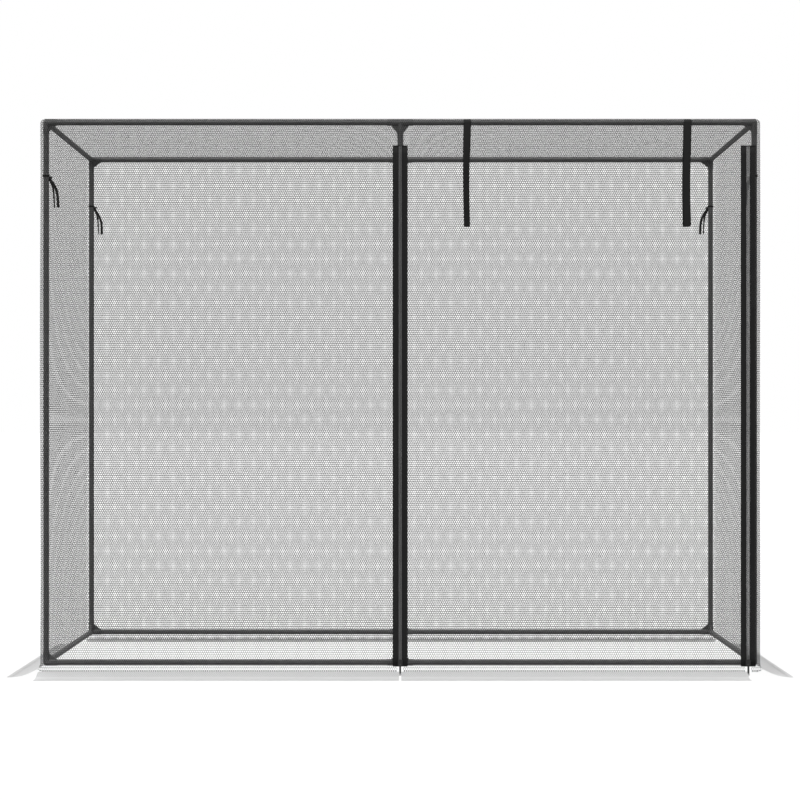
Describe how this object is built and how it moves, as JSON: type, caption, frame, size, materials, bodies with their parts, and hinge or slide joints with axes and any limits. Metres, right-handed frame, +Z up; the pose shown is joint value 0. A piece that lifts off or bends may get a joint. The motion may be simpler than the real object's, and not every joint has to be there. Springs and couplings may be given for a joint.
{
  "type": "walk-in net cage",
  "caption": "Box-shaped walk-in garden cage: dark steel tube frame under fine black crop net, a roll-up door between two upright zips, and pale cloth skirts spread on the ground.",
  "frame": {"origin": "on the ground, under the middle of the cage", "axes": "+Z up, +X along the wide side to the viewer's right, -Y towards the front with the two zips"},
  "size_m": [2.642, 1.442, 1.8763],
  "materials": {
    "steel_tube": "dark charcoal powder coat, satin",
    "moulded_fitting": "black moulded plastic, fine grain",
    "crop_net": "fine knitted black net, mostly open",
    "ground_skirt": "light grey coated woven sheet",
    "zip_tape": "black woven zip tape",
    "zip_coil": "black nylon coil, slight gloss",
    "zip_slider": "black enamelled zinc",
    "zip_pull": "black moulded plastic pull",
    "webbing": "black woven webbing",
    "tie_tape": "black woven tape"
  },
  "bodies": {
    "cover_and_frame": {"fitting_bottom_back_centre": "moulded_fitting", "fitting_bottom_back_left": "moulded_fitting", "fitting_bottom_back_right": "moulded_fitting", "fitting_bottom_front_centre": "moulded_fitting", "fitting_bottom_front_left": "moulded_fitting", "fitting_bottom_front_right": "moulded_fitting", "fitting_top_back_centre": "moulded_fitting", "fitting_top_back_left": "moulded_fitting", "fitting_top_back_right": "moulded_fitting", "fitting_top_front_centre": "moulded_fitting", "fitting_top_front_left": "moulded_fitting", "fitting_top_front_right": "moulded_fitting", "net_back": "crop_net", "net_door": "crop_net", "net_front_fixed": "crop_net", "net_front_header": "crop_net", "net_left": "crop_net", "net_right": "crop_net", "net_roof": "crop_net", "post_back_centre": "steel_tube", "post_back_left": "steel_tube", "post_back_right": "steel_tube", "post_front_centre": "steel_tube", "post_front_left": "steel_tube", "post_front_right": "steel_tube", "post_ties": "tie_tape", "rail_bottom_back_left": "steel_tube", "rail_bottom_back_right": "steel_tube", "rail_bottom_front_left": "steel_tube", "rail_bottom_front_right": "steel_tube", "rail_bottom_left": "steel_tube", "rail_bottom_right": "steel_tube", "rail_roof_centre": "steel_tube", "rail_top_back_left": "steel_tube", "rail_top_back_right": "steel_tube", "rail_top_front_left": "steel_tube", "rail_top_front_right": "steel_tube", "rail_top_left": "steel_tube", "rail_top_right": "steel_tube", "skirt_back": "ground_skirt", "skirt_front_fixed": "ground_skirt", "skirt_left": "ground_skirt", "skirt_right": "ground_skirt", "zip_centre_coil_door": "zip_coil", "zip_centre_coil_fixed": "zip_coil", "zip_centre_tape_door": "zip_tape", "zip_centre_tape_fixed": "zip_tape", "zip_right_coil_door": "zip_coil", "zip_right_coil_fixed": "zip_coil", "zip_right_tape_door": "zip_tape", "zip_right_tape_fixed": "zip_tape"},
    "door_hem": {"skirt_door": "ground_skirt"},
    "centre_slider": {"zip_centre_slider": "zip_slider"},
    "right_slider": {"zip_right_slider": "zip_slider"},
    "centre_pull": {"zip_centre_pull": "zip_pull"},
    "right_pull": {"zip_right_pull": "zip_pull"},
    "left_outer_strap": {"strap_outer_left": "webbing"},
    "right_outer_strap": {"strap_outer_right": "webbing"},
    "left_inner_strap": {"strap_inner_left": "webbing"},
    "right_inner_strap": {"strap_inner_right": "webbing"}
  },
  "joints": [
    {"name": "door_lift", "type": "slide", "parent": "cover_and_frame", "child": "door_hem", "axis": [0, 0, 1], "range_m": [0, 1.45], "deforming": ["net_door", "zip_centre_tape_door", "zip_centre_coil_door", "zip_right_tape_door", "zip_right_coil_door"]},
    {"name": "zip_centre_slide", "type": "slide", "parent": "cover_and_frame", "child": "centre_slider", "axis": [0, 0, 1], "range_m": [0, 1.7]},
    {"name": "zip_right_slide", "type": "slide", "parent": "cover_and_frame", "child": "right_slider", "axis": [0, 0, 1], "range_m": [0, 1.7]},
    {"name": "centre_pull_swing", "type": "hinge", "parent": "centre_slider", "child": "centre_pull", "pos_m": [0, -0.6138, 0.043], "axis": [-1, 0, 0], "range_deg": [0, 150]},
    {"name": "right_pull_swing", "type": "hinge", "parent": "right_slider", "child": "right_pull", "pos_m": [1.168, -0.6138, 0.043], "axis": [-1, 0, 0], "range_deg": [0, 150]},
    {"name": "outer_strap_left_swing", "type": "hinge", "parent": "cover_and_frame", "child": "left_outer_strap", "pos_m": [0.2235, -0.6096, 1.875], "axis": [-1, 0, 0], "range_deg": [0, 150]},
    {"name": "outer_strap_right_swing", "type": "hinge", "parent": "cover_and_frame", "child": "right_outer_strap", "pos_m": [0.966, -0.6096, 1.875], "axis": [-1, 0, 0], "range_deg": [0, 150]},
    {"name": "inner_strap_left_swing", "type": "hinge", "parent": "cover_and_frame", "child": "left_inner_strap", "pos_m": [0.2235, -0.5905, 1.8645], "axis": [1, 0, 0], "range_deg": [0, 85]},
    {"name": "inner_strap_right_swing", "type": "hinge", "parent": "cover_and_frame", "child": "right_inner_strap", "pos_m": [0.966, -0.5905, 1.8645], "axis": [1, 0, 0], "range_deg": [0, 85]}
  ],
  "couplings": [
    {"joint": "zip_centre_slide", "follows": "door_lift", "ratio": 1.1724},
    {"joint": "zip_right_slide", "follows": "door_lift", "ratio": 1.1724}
  ]
}
